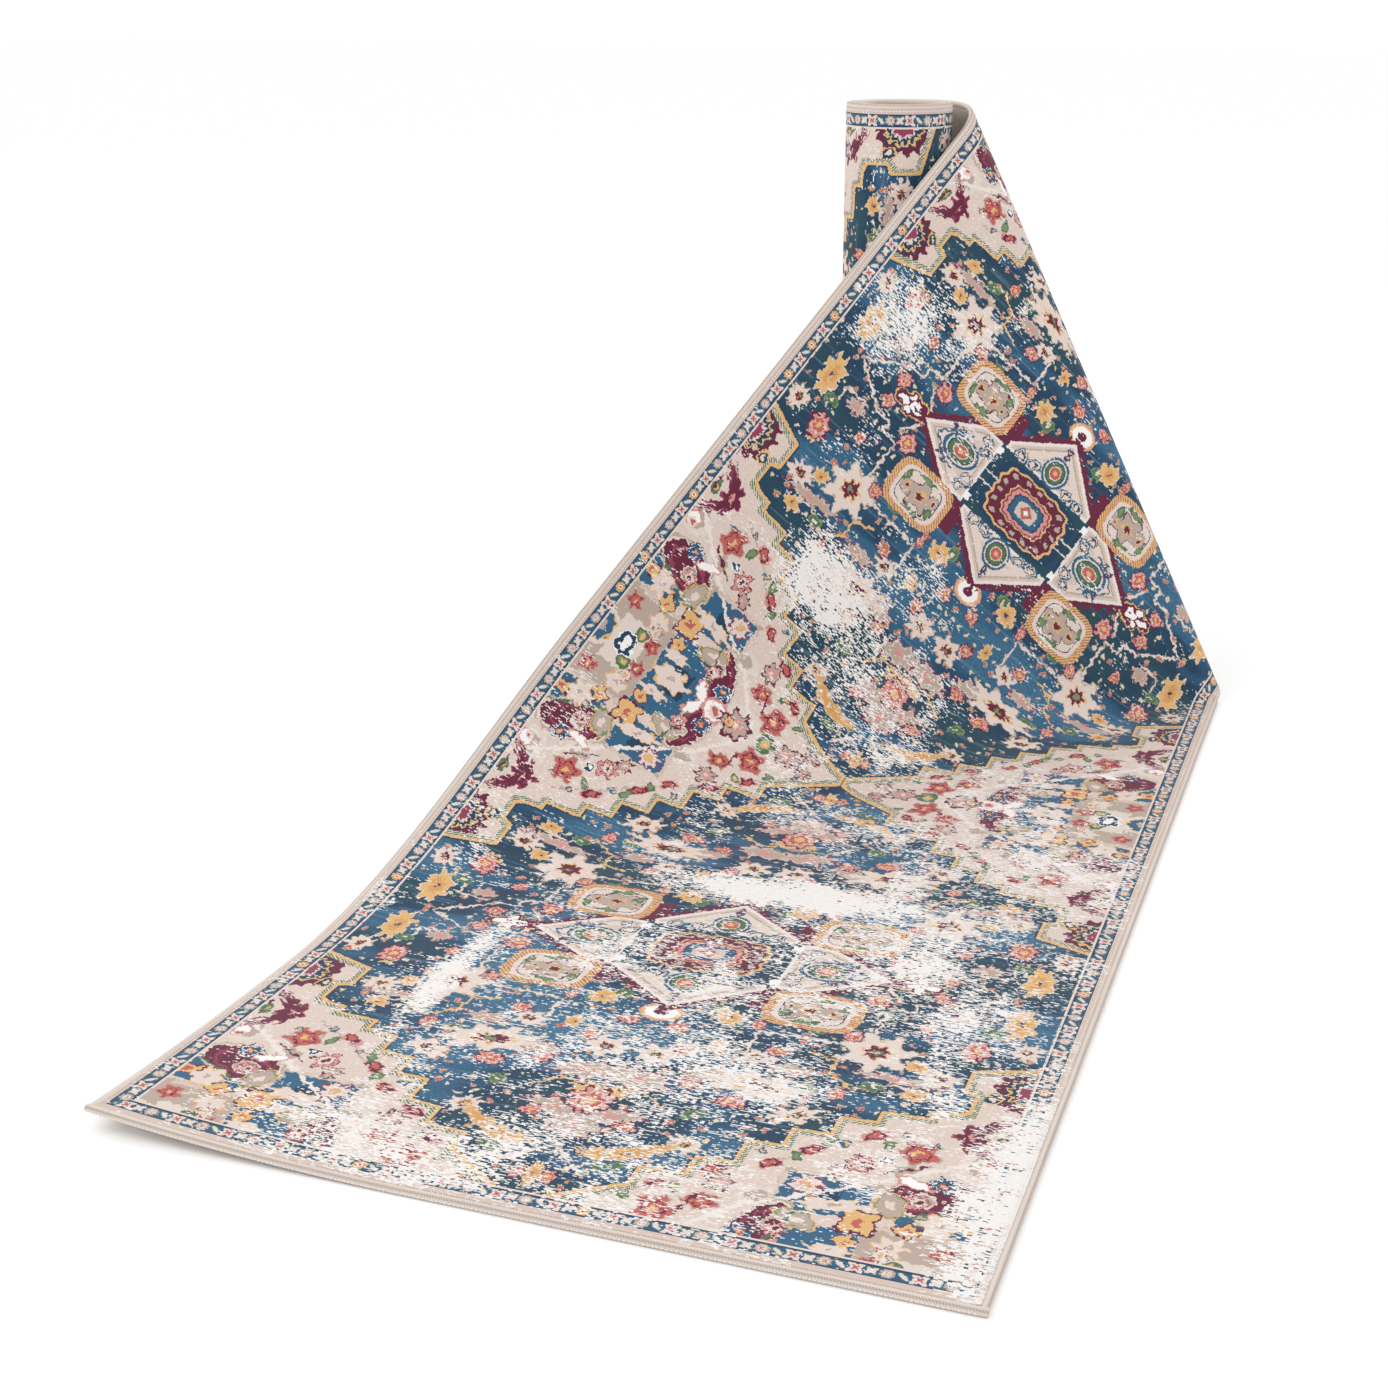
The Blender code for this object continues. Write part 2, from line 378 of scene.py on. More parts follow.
def stitches(name, edge, start, length, width, place, lean, material):
    """A row of short lock stitches, each a small rounded bar. place is (inward, depth) of their middle."""
    wanted, points, forward, inward, up = edge
    rings = np.array([(-0.5, 0.35), (-0.3, 1.0), (0.3, 1.0), (0.5, 0.35)])
    sides = 6
    angle = np.arange(sides) / sides * math.tau
    count = int((wanted[-1] - wanted[0] - start) / (length * 1.45))
    all_points, all_faces = [], []
    for index in range(count):
        at = wanted[0] + start + length * 1.45 * (index + 0.5)
        spot = np.interp(at, wanted, np.arange(len(wanted)))
        centre, way, side, top = (pick(x, np.array([spot]))[0] for x in (points, forward, inward, up))
        centre = centre + side * place[0] - top * place[1]
        run = way + side * lean
        run = run / np.linalg.norm(run)
        flank = np.cross(top, run)
        base = len(all_points)
        for shift, swell in rings:
            for turn in angle:
                reach = flank * math.cos(turn) * width / 2 + top * math.sin(turn) * width * 0.4
                all_points.append(centre + run * shift * length + reach * swell)
        for row in range(len(rings) - 1):
            for one in range(sides):
                two = (one + 1) % sides
                low, high = base + row * sides, base + (row + 1) * sides
                all_faces.append((low + one, low + two, high + two, high + one))
        all_faces.append(tuple(base + one for one in reversed(range(sides))))
        all_faces.append(tuple(base + (len(rings) - 1) * sides + one for one in range(sides)))
    made = make_object(name, all_points, all_faces, material)
    fix_normals(made)
    return made


# ---------------------------------------------------------------- shader drawing


def ink(code, alpha=1.0):
    """A colour from its usual six-digit name, as the shader wants it."""
    parts = [int(code[i : i + 2], 16) / 255 for i in (0, 2, 4)]
    return (*(p / 12.92 if p <= 0.04045 else ((p + 0.055) / 1.055) ** 2.4 for p in parts), alpha)


class Draw:
    """Short names for the shader nodes that the design is drawn with."""

    def __init__(self, name):
        self.material = bpy.data.materials.new(name)
        self.material.use_nodes = True
        self.tree = self.material.node_tree
        self.shader = self.tree.nodes["Principled BSDF"]

    def link(self, value, socket):
        if isinstance(value, bpy.types.NodeSocket):
            self.tree.links.new(value, socket)
        elif value is not None:
            socket.default_value = value

    def node(self, kind, **settings):
        made = self.tree.nodes.new(kind)
        for key, value in settings.items():
            setattr(made, key, value)
        return made

    def math(self, operation, a, b=None, c=None):
        made = self.node("ShaderNodeMath", operation=operation)
        for socket, value in zip(made.inputs, (a, b, c)):
            self.link(value, socket)
        return made.outputs[0]

    def vector(self, operation, a, b=None, c=None):
        made = self.node("ShaderNodeVectorMath", operation=operation)
        for socket, value in zip(made.inputs, (a, b, c)):
            self.link(value, socket)
        return made.outputs["Value" if operation in ("LENGTH", "DOT_PRODUCT") else "Vector"]

    def split(self, vector):
        return self.vector("DOT_PRODUCT", vector, (1, 0, 0)), self.vector("DOT_PRODUCT", vector, (0, 1, 0))

    def join(self, x, y, z=1.0):
        made = self.node("ShaderNodeCombineXYZ")
        for socket, value in zip(made.inputs, (x, y, z)):
            self.link(value, socket)
        return made.outputs[0]

    def own(self, spot, a, b, half_a, half_b):
        """spot in a motif's own units, centred on it, with its edge at EDGE."""
        scale = (EDGE / half_a, EDGE / half_b, 0.0)
        return self.vector("MULTIPLY_ADD", spot, scale, (-a * scale[0], -b * scale[1], 0.0))

    def axes(self, spot, a, b, half_a, half_b, turn):
        """The same along and across a motif that is turned by so many degrees. spot's third part is 1."""
        cosine, sine = math.cos(math.radians(turn)), math.sin(math.radians(turn))
        x = (cosine, sine, -a * cosine - b * sine)
        y = (-sine, cosine, a * sine - b * cosine)
        along = self.vector("DOT_PRODUCT", spot, tuple(part * EDGE / half_a for part in x))
        across = self.vector("DOT_PRODUCT", spot, tuple(part * EDGE / half_b for part in y))
        return along, across

    def oval(self, spot, a, b, half_a, half_b, turn=0.0):
        if not turn:
            return self.vector("LENGTH", self.own(spot, a, b, half_a, half_b))
        return self.vector("LENGTH", self.join(*self.axes(spot, a, b, half_a, half_b, turn), 0.0))

    def block(self, spot, a, b, half_a, half_b, turn=0.0):
        x, y = self.axes(spot, a, b, half_a, half_b, turn)
        return self.math("MAXIMUM", self.math("ABSOLUTE", x), self.math("ABSOLUTE", y))

    def diamond(self, spot, a, b, half_a, half_b, turn=0.0):
        x, y = self.axes(spot, a, b, half_a, half_b, turn)
        return self.math("ADD", self.math("ABSOLUTE", x), self.math("ABSOLUTE", y))

    def cushion(self, spot, *at):
        """A box with full round corners."""
        own = self.own(spot, *at)
        return self.math("SQRT", self.vector("LENGTH", self.vector("MULTIPLY", own, own)))

    def bloom(self, spot, a, b, half_a, half_b, turn=0.0, petals=5, depth=0.3):
        x, y = self.axes(spot, a, b, half_a, half_b, turn)
        angle = self.math("MULTIPLY", self.math("ARCTAN2", y, x), float(petals))
        swell = self.math("MULTIPLY_ADD", self.math("COSINE", angle), depth, 1.0)
        return self.math("MULTIPLY", self.vector("LENGTH", self.join(x, y, 0.0)), swell)

    def bar(self, spot, a1, b1, a2, b2, half=1.3):
        """A straight line of the design from one point to another."""
        long = math.hypot(a2 - a1, b2 - b1) / 2 + half * 0.7
        turn = math.degrees(math.atan2(b2 - b1, a2 - a1))
        return self.block(spot, (a1 + a2) / 2, (b1 + b2) / 2, long, half, turn)

    def smallest(self, values):
        result = None
        for value in values:
            result = value if result is None else self.math("MINIMUM", result, value)
        return result

    def ramp(self, value, stops, interpolation="CONSTANT"):
        """stops are (place, colour or None); None is clear."""
        made = self.node("ShaderNodeValToRGB")
        made.color_ramp.interpolation = interpolation
        elements = made.color_ramp.elements
        while len(elements) < len(stops):
            elements.new(1.0)
        for element, (place, colour) in zip(elements, stops):
            element.position = place
            element.color = colour or (0.0, 0.0, 0.0, 0.0)
        self.link(value, made.inputs[0])
        return made.outputs["Color"], made.outputs["Alpha"]

    def mix(self, share, a, b):
        made = self.node("ShaderNodeMix", data_type="RGBA")
        self.link(share, made.inputs["Factor"])
        self.link(a, made.inputs[6])
        self.link(b, made.inputs[7])
        return made.outputs[2]

    def layer(self, below, value, *bands):
        """Paints bands over what is below. Each band is (where it starts, colour); the last ends at 1."""
        stops = [(start * EDGE, colour) for start, colour in bands]
        colour, alpha = self.ramp(value, [*stops, (EDGE, None)])
        return self.mix(alpha, below, colour)

    def noise(self, vector, scale, detail=2.0, rough=0.5, colour=False):
        made = self.node("ShaderNodeTexNoise", noise_dimensions="2D")
        self.link(vector, made.inputs["Vector"])
        made.inputs["Scale"].default_value = scale
        made.inputs["Detail"].default_value = detail
        made.inputs["Roughness"].default_value = rough
        return made.outputs["Color" if colour else "Fac"]

    def random(self, vector):
        made = self.node("ShaderNodeTexWhiteNoise", noise_dimensions="2D")
        self.link(vector, made.inputs["Vector"])
        return made.outputs["Value"]

    def span(self, value, low, high, to_low=0.0, to_high=1.0):
        made = self.node("ShaderNodeMapRange")
        for socket, number in zip(made.inputs, (value, low, high, to_low, to_high)):
            self.link(number, socket)
        return made.outputs[0]

    def curve(self, value, points):
        made = self.node("ShaderNodeFloatCurve")
        self.link(value, made.inputs["Value"])
        line = made.mapping.curves[0]
        while len(line.points) < len(points):
            line.points.new(0.5, 0.5)
        for point, (x, y) in zip(line.points, points):
            point.location = (x, y)
            point.handle_type = "VECTOR"
        made.mapping.update()
        return made.outputs[0]


# ---------------------------------------------------------------- the design, in knots

EDGE = 0.9
KNOT = 0.00125
REPEAT = 397.0
HALF = 320.0
FIRST = 6.0
SLIP = 58.0
SLIP_RANGE = (1330.0, 1620.0)
MARGIN_EDGE = 10.5
GUARD_EDGE = 23.5

NAVY = ink("233f59")
BLUE = ink("34607f")
TEAL = ink("2b4a57")
DEEP = ink("2a4756")
WINE = ink("66263d")
PLUM = ink("8d3f58")
CORAL = ink("b9605a")
ROSE = ink("cf8f88")
GOLD = ink("d9ae74")
AMBER = ink("cf9a60")
CREAM = ink("dccbc1")
BEIGE = ink("cfbcb1")
SAND = ink("d9ccc2")
# Painted shadow in the gaps between a binding's stitches.
STITCH_SHADOW = ink("85796f")
PALE = ink("e2d8d1")
WHITE = ink("efecea")
TAUPE = ink("b3a295")
GREEN = ink("50704f")
MOSS = ink("7a8a66")

# The stepped edge of the corner field: how far it reaches from the long edge, at each distance from its middle.
STEPS = (
    (0, 318), (7, 318), (50, 257), (51, 255), (74, 255), (75.5, 223), (99, 223), (100.5, 197), (131, 197),
    (132.5, 172), (156, 172), (157.5, 145), (182, 145), (183.5, 119), (199, 119), (200.5, 85), (211, 85),
    (212.5, 69), (218, 61), (243, 61), (247, 71), (277, 71), (294, 25), (300, 12),
)
STEP_REACH = 300.0
STEP_HEIGHT = 330.0

FIELD_LINES = (
    (366, 112, 366, 135), (366, 135, 352, 135), (352, 135, 352, 154), (352, 154, 287, 154), (286, 154, 285, 197),
    (285, 197, 283, 239), (283, 239, 247, 239), (397, 170, 365, 149), (397, 69, 369, 113), (362, 75, 335, 75),
    (362, 75, 362, 105), (49, 288, 77, 316), (238, 125, 222, 147), (238, 125, 232, 92), (120, 282, 96, 314),
    (66, 290, 52, 302),
)
FIELD_TWIGS = (
    (223, 150, 238, 170), (238, 170, 258, 170), (258, 170, 272, 160), (258, 170, 266, 193), (330, 210, 318, 232),
    (318, 232, 322, 255), (150, 268, 168, 288), (168, 288, 166, 306), (168, 288, 182, 280),
)
CORAL_BLOOMS = (
    (144, 320, 19, 17, 0), (299, 169, 8, 8, 0), (362, 165, 12, 11, 30), (292, 242, 7, 6, 0), (382, 120, 9, 8, 0),
    (212, 157, 9, 7, 20), (309, 76, 15, 12, 0), (41, 309, 8, 6, 0), (268, 300, 8, 9, 0), (236, 282, 9, 8, 0),
    (176, 226, 9, 12, 10), (330, 120, 8, 7, 0), (258, 215, 8, 9, 0), (190, 262, 8, 8, 0), (118, 284, 7, 9, 0),
)
GOLD_BLOOMS = (
    (360, 53, 24, 12, 0), (297, 268, 12, 11, 45), (41, 320, 14, 6, 0), (300, 77, 9, 9, 0), (158, 320, 9, 22, 0),
    (228, 104, 8, 10, 20), (270, 112, 8, 9, 0), (250, 262, 9, 7, 0), (336, 246, 8, 7, 0),
)
CREAM_BLOOMS = (
    (281, 146, 25, 25, 0), (204, 214, 17, 38, -8), (244, 228, 10, 13, 0), (318, 40, 12, 11, 0),
    (222, 300, 13, 15, 0), (258, 92, 11, 15, 0), (174, 176, 10, 18, 30), (110, 236, 9, 13, -30),
    (322, 178, 9, 9, 0),
)
TAUPE_BLOOMS = (
    (111, 320, 18, 20, 0), (246, 120, 6, 34, -4), (128, 300, 10, 24, 12), (184, 300, 12, 26, -10),
    (206, 250, 9, 22, 14), (234, 196, 8, 18, 0), (352, 96, 8, 12, 0),
)
GREEN_LEAVES = (
    (306, 280, 8, 8, 0), (292, 262, 8, 7, 0), (300, 196, 6, 10, 0), (150, 244, 6, 10, 30), (176, 304, 6, 8, 0),
    (66, 276, 5, 10, 20), (210, 180, 6, 10, 0), (270, 136, 7, 7, 0), (340, 70, 6, 9, 0), (230, 136, 6, 9, 0),
)


def rug_spots(d):
    """The rug's flat coordinates, and the knot grid that they snap to."""
    attribute = d.node("ShaderNodeAttribute", attribute_name="rug_flat")
    flat = attribute.outputs["Vector"]
    knots = d.vector("SNAP", d.vector("SCALE", flat), (1.0, 1.0, 1.0))
    scale = knots.node.inputs[0].links[0].from_node
    scale.inputs["Scale"].default_value = 1 / KNOT
    return flat, knots


def folded(d, knots, wobble, size, seed):
    """Design coordinates: a from the corner field's middle towards the medallion, b in from the long edge."""
    moved = d.vector("ADD", knots, (seed, seed * 0.7, 0.0))
    shift = d.noise(moved, 1 / size, 1.0, 0.5, colour=True)
    shift = d.vector("SUBTRACT", shift, (0.5, 0.5, 0.5))
    shift = d.vector("MULTIPLY", shift, (wobble, wobble, 0.0))
    u, v = d.split(d.vector("ADD", knots, shift))
    u = d.math("SUBTRACT", u, d.span(u, *SLIP_RANGE, FIRST, FIRST - SLIP))
    a = d.math("PINGPONG", u, REPEAT)
    b = d.math("PINGPONG", v, HALF)
    return d.join(a, b), a, b


def paint_ground(d, knots, fine):
    """The field: blue that runs lighter and greener in bands across the rug."""
    bands = d.noise(d.vector("MULTIPLY", knots, (0.010, 0.0035, 0.0)), 1.0, 3.0, 0.6)
    colour, _ = d.ramp(bands, [(0.36, TEAL), (0.48, NAVY), (0.56, BLUE), (0.68, ink("43708e"))], "LINEAR")
    streak = d.random(d.vector("SNAP", knots, (2.0, 40.0, 1.0)))
    colour = d.mix(d.span(streak, 0.86, 1.0, 0.0, 0.30), colour, ink("7fa2bd"))
    return d.mix(d.span(fine, 0.45, 0.62, 0.0, 0.34), colour, ink("1b3044"))


def sprig_cells(d, loose, spacing):
    """Where small sprigs sit: how near each knot is to one, and a number that chooses its kind."""
    cell = d.node("ShaderNodeTexVoronoi", voronoi_dimensions="2D", feature="F1")
    cell.inputs["Scale"].default_value = 1 / spacing
    cell.inputs["Randomness"].default_value = 0.8
    d.link(loose, cell.inputs["Vector"])
    chance, kind = d.split(cell.outputs["Color"])
    size = d.span(kind, 0.0, 1.0, 0.16, 0.30)
    near = d.math("DIVIDE", cell.outputs["Distance"], size)
    empty = d.math("MULTIPLY", d.math("GREATER_THAN", chance, 0.62), 2.0)
    return d.math("MAXIMUM", near, empty), d.math("GREATER_THAN", kind, 0.5)


def scatter(d, below, cells, one, other):
    """Small sprigs and buds that fill the ground between the larger flowers."""
    near, kind = cells
    first = d.layer(below, near, *one)
    second = d.layer(below, near, *other)
    return d.mix(kind, first, second)


def paint_field(d, below, spot, loose, cells):
    """Stems, twigs and flowers on the blue."""
    buds = ((0, GOLD), (0.3, CREAM), (0.8, MOSS)), ((0, GOLD), (0.35, CORAL), (0.75, TAUPE))
    c = scatter(d, below, cells, *buds)
    c = d.layer(c, d.smallest(d.bar(loose, *at, 1.5) for at in FIELD_LINES), (0, CREAM), (0.8, TAUPE))
    c = d.layer(c, d.smallest(d.bar(loose, *at, 1.3) for at in FIELD_TWIGS), (0, GOLD))
    leaves = d.smallest(d.oval(loose, *at) for at in GREEN_LEAVES)
    c = d.layer(c, leaves, (0, CREAM), (0.25, GREEN), (0.8, MOSS))
    taupe = d.smallest(d.bloom(loose, *at, 9, 0.18) for at in TAUPE_BLOOMS)
    c = d.layer(c, taupe, (0, ROSE), (0.3, TAUPE), (0.75, BEIGE), (0.9, PLUM))
    cream = d.smallest(d.bloom(loose, *at, 7 + 2 * (i % 2), 0.24) for i, at in enumerate(CREAM_BLOOMS))
    c = d.layer(c, cream, (0, MOSS), (0.12, WINE), (0.34, GOLD), (0.42, CREAM), (0.92, TAUPE))
    gold = d.smallest(d.bloom(loose, *at, 8, 0.18) for at in GOLD_BLOOMS)
    c = d.layer(c, gold, (0, NAVY), (0.16, AMBER), (0.5, GOLD), (0.92, CREAM))
    coral = d.smallest(d.bloom(loose, *at, 8, 0.12) for at in CORAL_BLOOMS)
    c = d.layer(c, coral, (0, GOLD), (0.28, CORAL), (0.55, CREAM), (0.62, ROSE), (0.85, WINE))
    # The long curved gold leaf, bent along its length.
    a, b = d.split(loose)
    bend = d.math("MULTIPLY", d.math("POWER", d.math("SUBTRACT", b, 296.0), 2.0), 0.0090)
    bent = d.join(d.math("SUBTRACT", a, bend), b)
    leaf = d.bloom(bent, 79, 270, 8.5, 34, 0, 13, 0.16)
    c = d.layer(c, leaf, (0, NAVY), (0.10, AMBER), (0.7, GOLD), (0.93, TAUPE))
    white = d.oval(spot, 287, 320, 14, 18)
    c = d.layer(c, white, (0, WINE), (0.34, WHITE), (0.74, GOLD), (0.9, ROSE))
    bud = d.smallest([d.oval(loose, 397, 150, 12, 20), d.oval(loose, 397, 132, 9, 15), d.oval(loose, 390, 141, 8, 9, 30)])
    return d.layer(c, bud, (0, WHITE), (0.45, WINE), (0.78, GOLD), (0.92, NAVY))


def stepped(d, a, b, grow):
    """1 inside the corner field grown by so many knots, 0 outside."""
    found = []
    for side in (-1.0, 1.0):
        shifted = d.math("MULTIPLY_ADD", a, 1 / STEP_REACH, side * abs(grow) / STEP_REACH)
        points = [(x / STEP_REACH, y / STEP_HEIGHT) for x, y in STEPS]
        found.append(d.curve(d.math("MAXIMUM", shifted, 0.0), points))
    reach = d.math("MAXIMUM" if grow > 0 else "MINIMUM", *found)
    edge = d.math("MULTIPLY_ADD", reach, STEP_HEIGHT, grow)
    return d.math("LESS_THAN", b, edge)


SPANDREL = (
    # kind, bands, items. Drawn in this order over the cream field.
    ("block", ((0, SAND), (0.5, TAUPE)), ((0, 58, 54, 36),)),
    ("oval", ((0, TAUPE), (0.6, SAND)), ((150, 38, 20, 16), (0, 200, 26, 24), (128, 84, 12, 16), (66, 168, 12, 16))),
    ("block", ((0, NAVY), (0.35, BLUE), (0.97, BEIGE)), ((0, 124, 48, 32), (82, 51, 21, 26), (82, 128, 22, 32))),
    ("bar", ((0, PALE),), ((168, 26, 104, 106, 2.2), (104, 106, 58, 168, 2.2), (60, 172, 8, 212, 2.2))),
    ("bar", ((0, BEIGE), (0.8, TAUPE)), ((105, 96, 105, 160, 2.2), (105, 160, 60, 160, 2.2), (56, 26, 56, 93, 3))),
    (
        "oval",
        ((0, WINE), (0.55, PLUM), (0.66, WINE), (0.86, CREAM), (0.93, TAUPE)),
        ((101, 60, 40, 23, 109), (30, 160, 40, 17, -16)),
    ),
    ("oval", ((0, CREAM), (0.3, TAUPE), (0.8, MOSS), (0.9, GOLD)), ((85, 84, 17, 11, 20), (49, 138, 18, 10, 70))),
    ("oval", ((0, WINE), (0.5, WINE), (0.55, TAUPE), (0.85, CREAM)), ((97, 66, 10, 10), (40, 150, 9, 9))),
    ("bar", ((0, GREEN),), ((98, 26, 72, 78, 1.2), (60, 141, 12, 152, 1.2))),
    (
        "bloom8",
        ((0, GOLD), (0.25, CORAL), (0.4, NAVY), (0.55, BLUE), (0.8, WHITE), (0.9, NAVY)),
        ((120, 56, 9, 9), (23, 168, 9, 9), (91, 143, 4, 4)),
    ),
    (
        "bloom6",
        ((0, WINE), (0.25, CREAM), (0.55, WINE), (0.62, ROSE), (0.9, WINE)),
        ((95, 68, 8, 8), (34, 147, 8, 8), (128, 115, 11, 10), (158, 320, 6, 6), (14, 281, 8, 7)),
    ),
    ("oval", ((0, WHITE), (0.8, ROSE)), ((116, 76, 16, 5, 70), (0, 172, 14, 15), (146, 32, 9, 8), (10, 150, 6, 14, 60))),
    ("oval", ((0, CORAL), (0.5, CREAM)), ((2, 172, 6, 7), (142, 34, 4, 5))),
    (
        "bloom5",
        ((0, GOLD), (0.2, CORAL), (0.5, WINE), (0.62, CORAL), (0.9, TAUPE)),
        ((29, 229, 17, 13, 20), (154, 82, 15, 14, 0), (49, 203, 10, 12, 0), (14, 82, 9, 8, 0), (41, 38, 9, 9, 0)),
    ),
    (
        "bloom7",
        ((0, CREAM), (0.2, ROSE), (0.45, TAUPE), (0.8, WINE)),
        ((74, 199, 11, 10, 0), (0, 197, 17, 16, 0), (114, 128, 8, 7, 0), (11, 281, 8, 8, 0), (0, 258, 13, 14, 0)),
    ),
    (
        "bloom4",
        ((0, CORAL), (0.28, GOLD), (0.85, WINE)),
        ((35, 101, 8, 8, 45), (60, 66, 9, 9, 45), (59, 99, 15, 14, 0), (0, 190, 6, 6, 0), (77, 30, 8, 11, 0)),
    ),
    (
        "bloom6",
        ((0, TAUPE), (0.2, CREAM), (0.9, GOLD)),
        ((72, 49, 13, 12, 0), (39, 72, 10, 11, 0), (23, 108, 6, 15, 0), (73, 120, 7, 24, 10), (0, 116, 12, 20, 0)),
    ),
    ("oval", ((0, GOLD), (0.4, MOSS), (0.6, GREEN)), ((0, 233, 13, 10), (186, 30, 9, 5), (17, 66, 7, 8), (60, 226, 7, 4, 40))),
    ("bar", ((0, WINE),), ((52, 209, 29, 214, 0.9), (176, 30, 200, 27, 0.9), (140, 70, 120, 100, 0.9), (12, 262, 10, 290, 0.8))),
    ("oval", ((0, WHITE), (0.45, NAVY), (0.85, WHITE)), ((4, 57, 10, 11), (137, 100, 5, 5))),
    ("bloom8", ((0, GOLD), (0.3, ROSE), (0.4, CREAM), (0.85, PLUM)), ((91, 143, 11, 11), (28, 76, 7, 6))),
    # Thin stems, buds and small flowers along the cream band inside the stepped edge.
    (
        "bar",
        ((0, TAUPE),),
        ((182, 82, 152, 128, 0.8), (150, 128, 116, 166, 0.8), (98, 190, 74, 226, 0.8), (66, 228, 28, 272, 0.8)),
    ),
    (
        "oval",
        ((0, CORAL), (0.5, WINE), (0.8, ROSE)),
        ((166, 116, 6, 11, 40), (134, 152, 6, 12, 45), (108, 174, 6, 10, 40), (88, 208, 6, 12, 30), (58, 238, 6, 10, 40)),
    ),
    (
        "oval",
        ((0, MOSS), (0.6, GREEN)),
        ((158, 104, 8, 4, 30), (146, 144, 8, 4, -30), (122, 160, 7, 4, 20), (80, 224, 8, 4, 0), (40, 254, 8, 4, 30)),
    ),
    (
        "diamond",
        ((0, GOLD), (0.5, BLUE)),
        ((174, 96, 5, 5), (150, 132, 5, 5), (120, 184, 5, 5), (84, 234, 5, 5), (24, 276, 5, 5), (166, 72, 4, 4)),
    ),
)


def paint_spandrel(d, below, spot, loose, fine):
    """The cream corner field with its stepped edge, paisleys, blocks and flowers."""
    _, a, b = spot
    c = d.mix(stepped(d, a, b, 3.0), below, NAVY)
    c = d.mix(stepped(d, a, b, 1.6), c, GOLD)
    tooth = d.math("ADD", d.math("MULTIPLY", a, 0.30), d.math("MULTIPLY", b, 0.30))
    tooth = d.math("GREATER_THAN", d.math("FRACT", tooth), 0.45)
    inner = d.mix(tooth, CREAM, GREEN)
    c = d.mix(stepped(d, a, b, -1.4), c, inner)
    inside = stepped(d, a, b, -5.5)
    cream = d.mix(d.span(fine, 0.3, 0.7), CREAM, BEIGE)
    over = cream
    for kind, bands, items in SPANDREL:
        if kind.startswith("bloom"):
            count = int(kind[-1])
            values = (d.bloom(loose, *at[:5], *((0,) * (5 - len(at))), count, 0.20) for at in items)
        else:
            values = (getattr(d, kind)(loose, *at) for at in items)
        over = d.layer(over, d.smallest(values), *bands)
    # The serrated wine-red feather leaf curves round the field's corner.
    la, lb = d.split(loose)
    bend = d.math("MULTIPLY", d.math("POWER", d.math("SUBTRACT", la, 186.0), 2.0), 0.028)
    bent = d.join(la, d.math("ADD", lb, bend))
    feather = d.bloom(bent, 188, 52, 30, 10, 0, 13, 0.30)
    over = d.layer(over, feather, (0, ROSE), (0.16, WINE), (0.8, PLUM))
    over = d.layer(over, d.oval(loose, 0, 24, 22, 20), (0, TAUPE), (0.3, BLUE), (0.72, GOLD), (0.8, CREAM))
    half = d.bloom(loose, 259, 24, 31, 27, 0, 15, 0.10)
    over = d.layer(over, half, (0, PLUM), (0.34, CREAM), (0.42, NAVY), (0.58, GOLD), (0.68, NAVY), (0.76, WINE))
    hook = d.oval(loose, 243, 50, 9, 7)
    over = d.layer(over, hook, (0, CREAM), (0.35, NAVY), (0.75, GOLD))
    return d.mix(inside, c, over)


def arm(d, a, b, tip, slope, thickness, inner):
    """Distance outside a pointed arm of the medallion, which runs along b."""
    slant = d.math("MULTIPLY_ADD", b, slope, -tip * slope)
    slant = d.math("MULTIPLY", d.math("ADD", a, slant), 1 / math.hypot(1, slope))
    far = d.math("SUBTRACT", a, thickness)
    near = d.math("SUBTRACT", inner, b)
    return d.math("MAXIMUM", d.math("MAXIMUM", slant, far), near)


